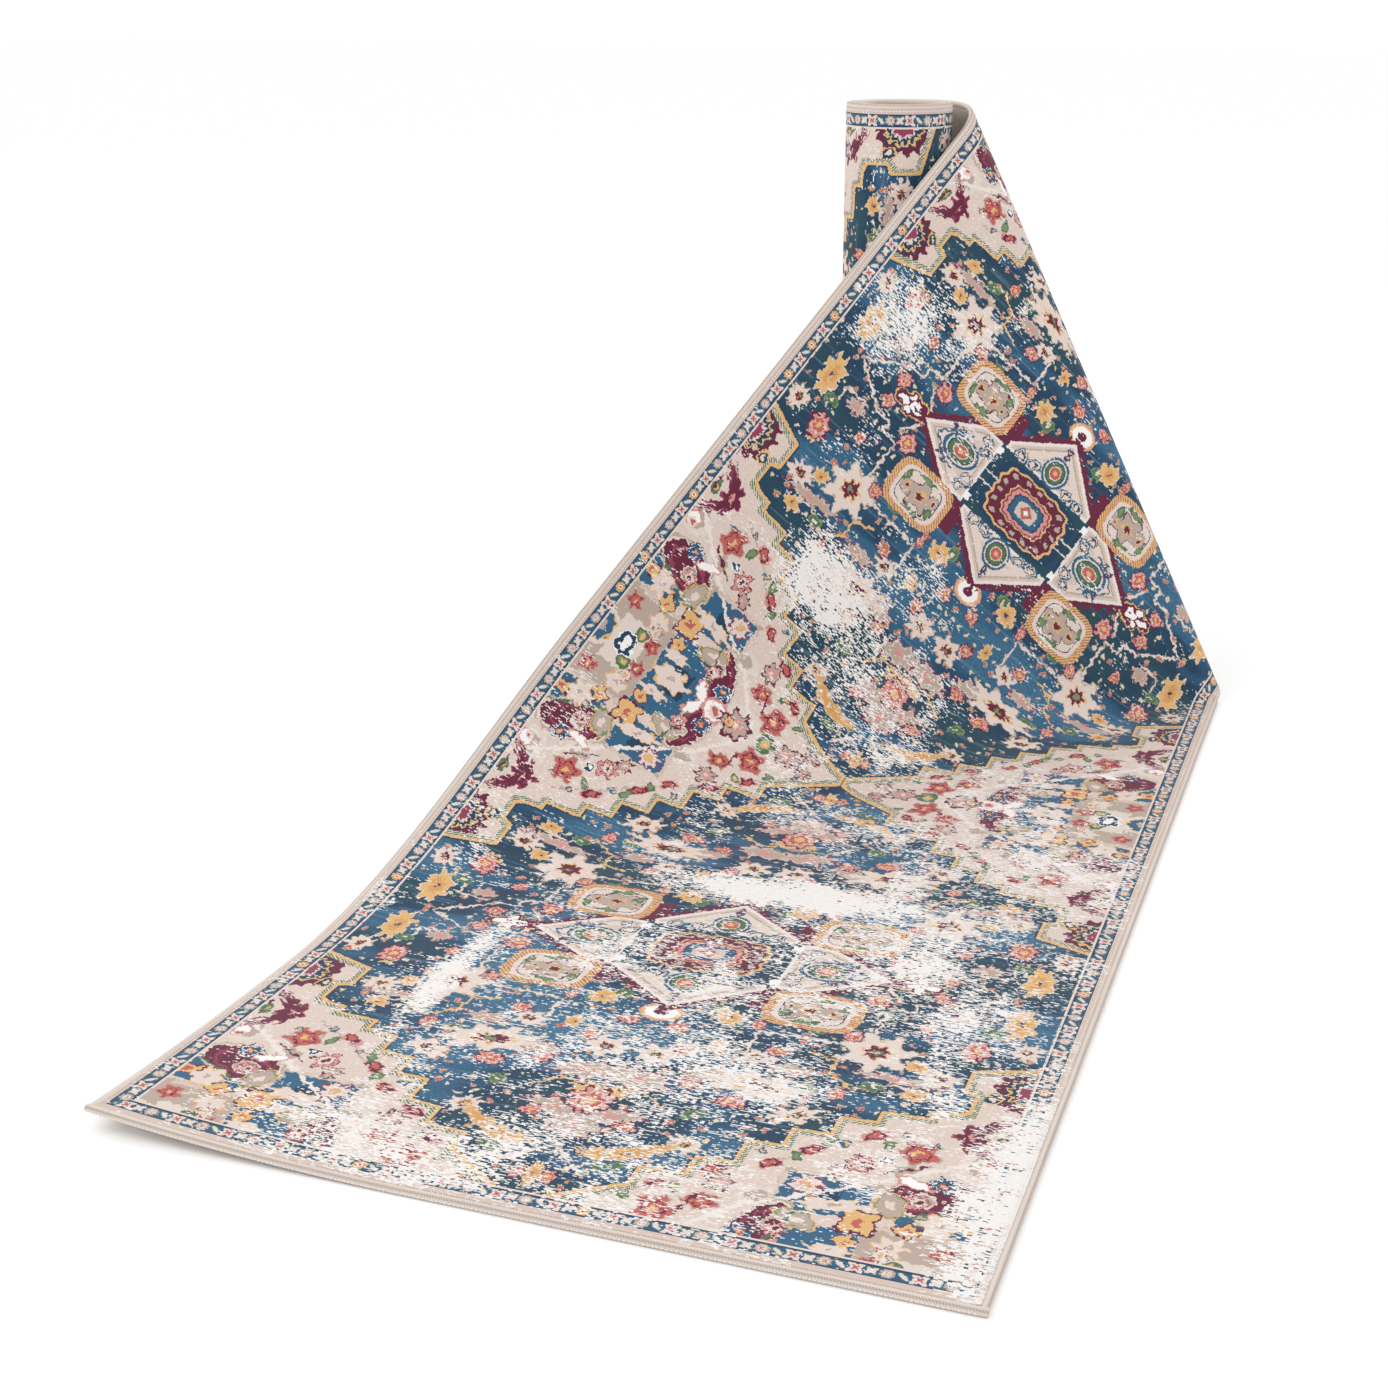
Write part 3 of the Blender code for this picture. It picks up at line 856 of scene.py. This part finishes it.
def paint_medallion(d, below, spot, loose, ragged):
    """The medallion: four white arms on a wine-red fringe, cartouches between them, and a rosette."""
    c = below
    centre, x, y = spot
    easy, _, _ = loose
    long_arm = arm(d, x, y, 157.0, 0.68, 41.0, 68.0)
    cap = arm(d, y, x, 99.0, 1.26, 64.0, 40.0)
    both = d.math("MINIMUM", long_arm, cap)
    fringe = d.math("SUBTRACT", both, d.math("MULTIPLY_ADD", ragged, 20.0, -3.0))
    box = d.math("SUBTRACT", d.block(centre, 58, 78, 22, 20), EDGE)
    fringe = d.math("MINIMUM", fringe, d.math("MULTIPLY", box, 20.0))
    c = d.mix(d.math("LESS_THAN", fringe, 0.0), c, WINE)
    ground = d.smallest([d.cushion(centre, 0, 0, 46, 74), d.block(centre, 20, 80, 22, 20)])
    c = d.layer(c, ground, (0, DEEP), (0.6, NAVY), (0.8, DEEP))
    lines = [(6, 44, 6, 70), (6, 70, 32, 98)]
    c = d.layer(c, d.smallest(d.bar(centre, *at, 0.9) for at in lines), (0, SAND))
    shade = d.span(both, -40.0, 10.0)
    stops = ((0.0, BEIGE), (0.45, CREAM), (0.62, TAUPE), (0.66, BEIGE), (0.72, PALE), (0.795, None))
    colour, alpha = d.ramp(shade, stops)
    c = d.mix(alpha, c, colour)
    scroll = d.smallest([
        d.oval(easy, 45, 44, 7, 9), d.oval(easy, 46, 27, 6, 11, 20), d.oval(easy, 19, 78, 7, 9, 30),
        d.oval(easy, 30, 84, 6, 6),
    ])
    c = d.layer(c, scroll, (0, CREAM), (0.42, DEEP), (0.62, CREAM), (0.78, BLUE))
    rings = d.smallest([d.oval(centre, 57, 0, 18, 17), d.oval(centre, 0, 102, 17, 24)])
    c = d.layer(
        c, rings, (0, GOLD), (0.16, CORAL), (0.38, CREAM), (0.44, GREEN), (0.66, TEAL), (0.74, CREAM), (0.84, BLUE)
    )
    marks = [(14, 121, 9, 4, 40), (80, 0, 7, 5, 0), (20, 112, 7, 3, 60), (88, 0, 4, 4, 0)]
    c = d.layer(c, d.smallest(d.diamond(easy, *at) for at in marks), (0, CREAM), (0.3, WINE), (0.7, BLUE))
    c = d.layer(c, d.smallest(d.bar(easy, *at, 1.2) for at in ((0, 136, 14, 122), (14, 122, 22, 100))), (0, BLUE))
    cartouche = d.cushion(centre, 69, 111, 30, 39)
    hatch = d.math("FRACT", d.math("MULTIPLY", d.math("ADD", x, y), 0.24))
    rim = d.mix(d.math("GREATER_THAN", hatch, 0.72), GOLD, PLUM)
    c = d.mix(d.math("LESS_THAN", cartouche, EDGE), c, rim)
    inner = d.math("LESS_THAN", cartouche, EDGE * 0.80)
    c = d.mix(inner, c, ROSE)
    c = d.layer(c, d.math("MULTIPLY", cartouche, 1.26), (0, CREAM), (0.82, NAVY), (0.85, CREAM))
    arabesque = d.smallest([
        d.bloom(easy, 69, 108, 15, 17, 0, 5, 0.25), d.oval(easy, 69, 127, 9, 9), d.oval(easy, 66, 92, 8, 7),
    ])
    c = d.layer(c, arabesque, (0, WINE), (0.25, GOLD), (0.4, TAUPE), (0.9, WINE))
    sprigs = [(88, 108, 3, 12, 8), (50, 112, 3, 12, -8), (60, 134, 8, 3, 20), (78, 90, 6, 5, 0)]
    c = d.layer(c, d.smallest(d.oval(easy, *at) for at in sprigs), (0, MOSS), (0.6, GREEN))
    rosette = d.cushion(centre, 0, 0, 34, 51)
    px, py = d.split(d.vector("MULTIPLY", centre, (1 / 34, 1 / 51, 0.0)))
    wave = d.math("COSINE", d.math("MULTIPLY", d.math("ARCTAN2", py, px), 16.0))
    rosette = d.math("MULTIPLY", rosette, d.math("MULTIPLY_ADD", wave, -0.035, 1.03))
    c = d.layer(
        c, rosette, (0, BEIGE), (0.27, BLUE), (0.40, NAVY), (0.44, ROSE), (0.53, PLUM), (0.58, GOLD), (0.62, WINE),
        (0.94, GOLD),
    )
    band = d.math("MULTIPLY", d.math("GREATER_THAN", rosette, 0.67), d.math("LESS_THAN", rosette, 0.78))
    petal = d.math("MULTIPLY", band, d.math("GREATER_THAN", wave, 0.35))
    c = d.mix(petal, c, TAUPE)
    c = d.layer(c, d.diamond(centre, 0, 0, 9, 9), (0, WHITE), (0.35, TAUPE), (0.5, CORAL))
    return d.layer(c, d.block(centre, 32, 67, 4, 4), (0, WHITE))


def paint_guard(d, below, knots, spot, fine):
    """The guard border all round, with flowers and slanted leaves, and the plain margin outside it."""
    _, _, b = spot
    u, v = d.split(knots)
    ends = d.math("MINIMUM", u, d.math("SUBTRACT", LENGTH / KNOT, u))
    edge = d.math("MINIMUM", b, ends)
    at_end = d.math("LESS_THAN", ends, b)
    run = d.node("ShaderNodeMix", data_type="FLOAT")
    for socket, value in zip((run.inputs[0], run.inputs[2], run.inputs[3]), (at_end, u, v)):
        d.link(value, socket)
    run = run.outputs[0]
    depth = d.math("SUBTRACT", edge, (MARGIN_EDGE + GUARD_EDGE) / 2)
    phase = d.math("MULTIPLY", d.math("FRACT", d.math("MULTIPLY", run, 1 / 20.4)), 20.4)
    pair = d.math("FLOOR", d.math("MULTIPLY", run, 1 / 20.4))
    flower = d.join(d.math("SUBTRACT", phase, 5.1), depth)
    kind = d.math("FRACT", d.math("MULTIPLY", pair, 0.5))
    c = d.mix(d.span(fine, 0.3, 0.7, 0.0, 0.5), BLUE, NAVY)
    red = d.layer(c, d.bloom(flower, 0, 0, 5.0, 5.0, 45, 4, -0.38), (0, CORAL), (0.42, CREAM))
    round_flower = d.bloom(flower, 0, 0, 5.0, 4.8, 0, 8, 0.10)
    grey = d.layer(c, round_flower, (0, SAND), (0.22, CORAL), (0.34, SAND), (0.62, TAUPE))
    gold = d.layer(c, round_flower, (0, CORAL), (0.3, WHITE), (0.45, AMBER), (0.8, GOLD))
    third = d.math("LESS_THAN", d.random(d.join(pair, 3.0)), 0.25)
    other = d.mix(third, grey, gold)
    c = d.mix(d.math("GREATER_THAN", kind, 0.25), red, other)
    leaf_left = d.oval(d.join(d.math("SUBTRACT", phase, 15.3), depth), 0, 0, 5.4, 2.0, 42)
    leaf_right = d.oval(d.join(d.math("SUBTRACT", phase, 15.3), depth), 0, 0, 5.4, 2.0, -42)
    c = d.layer(c, leaf_left, (0, CREAM), (0.8, MOSS))
    turned = d.layer(c, leaf_right, (0, CREAM))
    c = d.mix(d.math("GREATER_THAN", kind, 0.25), c, turned)
    bands = d.math("MULTIPLY", edge, 1 / 32.0)
    colour, alpha = d.ramp(
        bands,
        [
            (0.0, BEIGE), (MARGIN_EDGE / 32, NAVY), ((MARGIN_EDGE + 1) / 32, None),
            ((GUARD_EDGE - 1.5) / 32, NAVY), (GUARD_EDGE / 32, CREAM), ((GUARD_EDGE + 1.6) / 32, None),
        ],
    )
    inside = d.math("LESS_THAN", edge, GUARD_EDGE)
    c = d.mix(inside, below, c)
    return d.mix(alpha, c, colour), edge


# Where the pattern is worn off: (distance from the front end, distance from the right edge, reach each way, strength).
WORN = (
    (0.08, 0.34, 0.13, 0.24, 0.38), (0.16, 0.02, 0.22, 0.045, 0.85), (0.26, 0.36, 0.18, 0.26, 0.34),
    (0.67, 0.35, 0.045, 0.18, 1.10), (0.60, 0.22, 0.20, 0.15, 0.50), (0.37, 0.63, 0.16, 0.020, 0.85),
    (0.82, 0.15, 0.16, 0.15, 0.42), (1.23, 0.57, 0.075, 0.085, 0.95), (1.15, 0.44, 0.16, 0.13, 0.42),
    (1.04, 0.20, 0.14, 0.14, 0.34), (1.57, 0.70, 0.075, 0.075, 0.75), (1.60, 0.60, 0.06, 0.07, 0.42),
    (0.47, 0.34, 0.10, 0.30, 0.34), (0.05, 0.55, 0.11, 0.16, 0.42), (2.36, 0.55, 0.16, 0.10, 0.42),
    (0.90, 0.36, 0.07, 0.20, 0.32), (1.30, 0.46, 0.08, 0.09, 0.40), (0.44, 0.10, 0.14, 0.08, 0.40),
)
WORN_FRONT = 0.95


def paint_wear(d, below, flat, knots):
    """Undyed yarn shows in short dashes across the rug, denser where the print is worn away."""
    total = None
    for along, across, reach, width, strength in WORN:
        near = d.vector("LENGTH", d.own(flat, along, across, reach * EDGE, width * EDGE))
        part = d.span(near, 0.35, 1.25, strength, 0.0)
        total = part if total is None else d.math("MAXIMUM", total, part)
    cloud = d.noise(d.vector("MULTIPLY", knots, (0.011, 0.016, 0.0)), 1.0, 5.0, 0.62)
    patch = d.noise(d.vector("MULTIPLY", knots, (0.07, 0.045, 0.0)), 1.0, 3.0, 0.65)
    ply = d.random(d.vector("SNAP", d.vector("ADD", knots, (31.0, 7.0, 0.0)), (1.0, 26.0, 1.0)))
    dash = d.random(d.vector("SNAP", knots, (1.0, 3.0, 1.0)))
    dot = d.random(d.vector("ADD", d.vector("SNAP", knots, (2.0, 2.0, 1.0)), (5.0, 9.0, 0.0)))
    along, _ = d.split(flat)
    amount = d.math("ADD", total, d.span(cloud, 0.42, 0.78, -0.16, 0.42))
    amount = d.math("ADD", amount, d.span(patch, 0.25, 0.75, -0.26, 0.24))
    amount = d.math("ADD", amount, d.span(ply, 0.0, 1.0, -0.15, 0.17))
    amount = d.math("ADD", amount, d.span(along, WORN_FRONT - 0.2, WORN_FRONT + 0.2, 0.07, -0.04))
    grain = d.math("MULTIPLY_ADD", dash, 0.78, d.math("MULTIPLY", dot, 0.22))
    worn = d.span(d.math("SUBTRACT", amount, grain), -0.03, 0.05)
    bare = d.mix(d.span(dot, 0.0, 1.0, 0.0, 0.5), WHITE, ink("e6ddd3"))
    return d.mix(worn, below, bare), worn


def pile_material():
    d = Draw("printed_pile")
    flat, knots = rug_spots(d)
    fine = d.noise(d.vector("MULTIPLY", knots, (0.5, 0.35, 0.0)), 1.0, 2.0, 0.6)
    spot = folded(d, knots, 1.6, 7.0, 11.0)
    loose = folded(d, knots, 8.0, 6.5, 47.0)
    middle = (-REPEAT, -HALF, 0.0)
    near = d.vector("ABSOLUTE", d.vector("ADD", spot[0], middle))
    near_loose = d.vector("ABSOLUTE", d.vector("ADD", loose[0], middle))
    ragged = d.noise(d.vector("MULTIPLY", knots, (0.16, 0.16, 0.0)), 1.0, 2.0, 0.6)
    colour = paint_ground(d, knots, fine)
    cells = sprig_cells(d, loose[0], 13.0)
    colour = paint_field(d, colour, spot[0], loose[0], cells)
    colour = paint_medallion(d, colour, (near, *d.split(near)), (near_loose, None, None), ragged)
    colour = paint_spandrel(d, colour, spot, loose[0], fine)
    colour, edge = paint_guard(d, colour, knots, folded(d, knots, 0.8, 6.0, 3.0), fine)
    colour, worn = paint_wear(d, colour, flat, knots)
    finish_pile(d, colour, flat, edge, worn)
    return d.material


def finish_pile(d, colour, flat, edge, worn):
    """The woven face: fine ribs across the rug, a little relief where dyed pile stands over bare ground, and painted
    shade and light that follow the same heights.
    """
    rows = d.vector("MULTIPLY", flat, (1 / 0.0016, 1 / 0.0021, 0.0))
    x, y = d.split(rows)
    rib = d.math("MULTIPLY", d.math("SINE", d.math("MULTIPLY", x, math.tau)), 0.5)
    wale = d.math("SINE", d.math("MULTIPLY", y, math.tau))
    fuzz = d.noise(flat, 900.0, 2.0, 0.6)
    height = d.math("ADD", d.math("MULTIPLY_ADD", wale, 0.3, rib), d.math("MULTIPLY", fuzz, 1.2))
    height = d.math("SUBTRACT", height, d.math("MULTIPLY", worn, 0.5))
    groove = d.span(d.math("ABSOLUTE", d.math("SUBTRACT", edge, 8.6)), 0.0, 0.8, 1.0, 0.0)
    height = d.math("SUBTRACT", height, groove)
    # Painted shade and light: the colour is darkened where the height is low, in the rib hollows, on the bare worn
    # ground and in the groove along the edge margin, and lightened a little on the ridges.
    shade = d.span(height, -1.2, 1.6, 0.86, 1.04)
    shaded_tone = d.vector("SCALE", colour)
    d.link(shade, shaded_tone.node.inputs["Scale"])
    bump = d.node("ShaderNodeBump")
    bump.inputs["Strength"].default_value = 0.35
    bump.inputs["Distance"].default_value = 0.0006
    d.link(height, bump.inputs["Height"])
    shader = d.shader
    d.link(shaded_tone, shader.inputs["Base Color"])
    d.link(bump.outputs[0], shader.inputs["Normal"])
    d.link(d.span(worn, 0.0, 1.0, 0.86, 0.95), shader.inputs["Roughness"])
    shader.inputs["Specular IOR Level"].default_value = 0.15
    shader.inputs["Sheen Weight"].default_value = 0.12
    shader.inputs["Sheen Roughness"].default_value = 0.5


def stitch_marks(d, flat, first, last, pitch):
    """Slanted overlock stitches between two places round a binding, as painted shadows in the gaps along it."""
    along, around = d.split(flat)
    row = d.math("COMPARE", around, (first + last) / 2, (last - first) / 2)
    beat = d.math("FRACT", d.math("MULTIPLY_ADD", along, 1 / pitch, d.math("MULTIPLY", around, 9.0)))
    return d.math("MULTIPLY", row, d.span(beat, 0.35, 0.6, 0.15, 0.75))


def cloth_look(name, colour, dark, rows, strength, stitch_row=None):
    """A plain woven or wound yarn surface in the piece's own flat coordinates, with painted shade in the hollows of
    its weave.
    """
    d = Draw(name)
    attribute = d.node("ShaderNodeAttribute", attribute_name="rug_flat")
    flat = attribute.outputs["Vector"]
    x, y = d.split(d.vector("MULTIPLY", flat, (math.tau / rows[0], math.tau / rows[1], 0.0)))
    weave = d.math("MULTIPLY", d.math("SINE", x), d.math("SINE", y))
    fuzz = d.noise(flat, 700.0, 3.0, 0.6)
    cloud = d.noise(flat, 9.0, 3.0, 0.6)
    height = d.math("MULTIPLY_ADD", fuzz, 0.8, weave)
    # The dark colour goes where the weave is low, as painted shade in its hollows, and in random clouds, as the yarn's
    # own mottle.
    share = d.math("ADD", d.span(height, -0.9, 1.6, 0.6, 0.0), d.span(cloud, 0.3, 0.7, 0.0, 0.3))
    bump = d.node("ShaderNodeBump")
    bump.inputs["Strength"].default_value = strength
    bump.inputs["Distance"].default_value = 0.0004
    d.link(height, bump.inputs["Height"])
    shader = d.shader
    shaded_tone = d.mix(share, colour, dark)
    # Painted shadow in the gaps between the overlock stitches.
    if stitch_row:
        shaded_tone = d.mix(stitch_marks(d, flat, *stitch_row), shaded_tone, STITCH_SHADOW)
    d.link(shaded_tone, shader.inputs["Base Color"])
    d.link(bump.outputs[0], shader.inputs["Normal"])
    d.link(d.span(fuzz, 0.2, 0.8, 0.82, 0.95), shader.inputs["Roughness"])
    shader.inputs["Specular IOR Level"].default_value = 0.15
    shader.inputs["Sheen Weight"].default_value = 0.15
    return d.material


def backing_material():
    return cloth_look("felted_backing", ink("e2d8cc"), ink("bfb2a3"), (0.0030, 0.0030), 0.5)


def binding_material():
    return cloth_look("binding_yarn", ink("e2d6cd"), ink("c8b8ad"), (0.0014, 0.25), 0.5, (0.33, 0.43, 0.0026))


def thread_material():
    return cloth_look("stitch_thread", ink("f3efe9"), ink("d8d0c8"), (0.0006, 0.0006), 0.3)


# ---------------------------------------------------------------- the pieces

REAR = ("floor", "rise", "ridge", "outer_turn", "inner_turn")
FRONT = ("front_fold", "front_tip")


def on_body(piece):
    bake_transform(piece)


def on_front(piece):
    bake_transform(piece)


def add_cloth(strip, end):
    """The pile face and the backing, each split where the front end lies flat between its two hinges."""
    pile, backing = pile_material(), backing_material()
    layers = (("pile", pile, 0.0, PILE, 0.0066), ("backing", backing, BACKING_TOP, THICKNESS, 0.0078))
    for name, material, top, bottom, side in layers:
        body = cloth_layer(f"{name}_body", strip, FOLD_FLAT, end - 0.007, side, top, bottom, material)
        front = cloth_layer(f"{name}_front", strip, 0.0066, FOLD_FLAT, side, top, bottom, material)
        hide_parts(*(f"{name}_{panel}" for panel in REAR))
        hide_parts(*(f"{name}_{panel}" for panel in FRONT))
        on_body(body)
        on_front(front)


def add_edges(strip, end):
    """The wound bindings along both long edges, and their rows of stitches."""
    yarn, thread = binding_material(), thread_material()
    for side, left in (("right", False), ("left", True)):
        body_edge = resampled_edge(strip, left, FOLD_FLAT, end - 0.004, 0.0011)
        front_run = resampled_edge(strip, left, 0.004, FOLD_FLAT, 0.0011)
        body = bead(f"{side}_binding_body", body_edge, yarn)
        front = bead(f"{side}_binding_front", front_run, yarn)
        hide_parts(*(f"{side}_binding_{panel}" for panel in REAR))
        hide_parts(*(f"{side}_binding_{panel}" for panel in FRONT))
        on_body(body)
        on_front(front)
        row = (0.0030, 0.0011, (0.0088, -0.0002), 0.25, thread)
        body_row = stitches(f"{side}_stitches_body", body_edge, 0.001, *row)
        front_row = stitches(f"{side}_stitches_front", front_run, 0.006, *row)
        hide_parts(f"{side}_thread_body")
        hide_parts(f"{side}_thread_front_fold", f"{side}_thread_front_tip")
        on_body(body_row)
        on_front(front_row)


def add_hems(strip, end):
    """The front hem with its stitches, and the rear hem inside the roll."""
    yarn, thread = binding_material(), thread_material()
    edge = front_edge(0.0011)
    hem = bead("front_hem_wrap", edge, yarn, wrap=0.0050)
    row = stitches("front_hem_stitches", edge, 0.008, 0.0028, 0.0012, (0.0002, 0.0042), 0.0, thread)
    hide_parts("front_hem")
    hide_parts("front_hem_thread")
    for piece, slot in ((hem, "binding"), (row, "thread")):
        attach(piece, "front_tip")
    rear = bead("rear_hem_wrap", rear_edge(strip, end, 0.0016), yarn)
    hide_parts("rear_hem")
    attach(rear, "rug_body")


def rear_edge(strip, end, pitch):
    """Points along the rear end inside the roll, from the floor up."""
    count = int(round(WIDTH / pitch))
    share = np.linspace(0.0, 1.0, count + 1)[:, None]
    points = strip.right[-1] * (1 - share) + strip.left[-1] * share
    inward = strip.right[-2] - strip.right[-1]
    inward = np.tile(inward / np.linalg.norm(inward), (count + 1, 1))
    up = np.tile(strip.facing[-1], (count + 1, 1))
    forward = np.cross(inward, up)
    return share[:, 0] * WIDTH, points, forward, inward, up


def add_stage():
    """A large pale floor."""
    rows = [(-30.0, 0.0), (30.0, 0.0)]
    points = [(x, y, z - 0.0002) for y, z in rows for x in (-30.0, 30.0)]
    faces = [(2 * i, 2 * i + 1, 2 * i + 3, 2 * i + 2) for i in range(len(rows) - 1)]
    material = bpy.data.materials.new("studio_floor")
    material.use_nodes = True
    shader = material.node_tree.nodes["Principled BSDF"]
    shader.inputs["Base Color"].default_value = (0.95, 0.95, 0.95, 1.0)
    shader.inputs["Roughness"].default_value = 0.9
    shader.inputs["Specular IOR Level"].default_value = 0.1
    made = make_object("studio_floor", points, faces, material)


def add_light(name, place, target, size, power, colour=(1.0, 1.0, 1.0)):
    data = bpy.data.lights.new(name, "AREA")
    data.shape = "DISK"
    data.size = size
    data.energy = power
    data.color = colour
    made = bpy.data.objects.new(name, data)
    made.location = place
    aim = Vector(target) - Vector(place)
    made.rotation_euler = aim.to_track_quat("-Z", "Y").to_euler()
    bpy.context.scene.collection.objects.link(made)


def add_lights():
    add_light("key", (-2.6, -1.8, 3.6), (0, 0, 0.1), 2.6, 40)
    add_light("fill", (2.8, -2.4, 2.4), (0, 0, 0.2), 3.0, 8)
    add_light("back", (0.6, 3.2, 3.4), (0, 0.4, 0.3), 2.5, 10)
    world = bpy.data.worlds.new("studio")
    world.use_nodes = True
    world.node_tree.nodes["Background"].inputs["Color"].default_value = (1.0, 1.0, 1.0, 1.0)
    world.node_tree.nodes["Background"].inputs["Strength"].default_value = 1.05
    bpy.context.scene.world = world


def add_camera():
    bpy.context.scene.view_settings.view_transform = "Standard"
    data = bpy.data.cameras.new("camera")
    data.lens = 54.05
    data.sensor_width = 36.0
    made = bpy.data.objects.new("camera", data)
    made.location = (0.6436, -2.1035, 0.9534)
    made.rotation_euler = (math.pi / 2 - 0.3301, 0.0, 0.3465)
    bpy.context.scene.collection.objects.link(made)
    bpy.context.scene.camera = made


def main():
    add_camera()
    strip = Strip(whole_strip())
    end = strip.end()
    add_cloth(strip, end)
    add_edges(strip, end)
    add_hems(strip, end)
    add_stage()
    add_lights()


main()
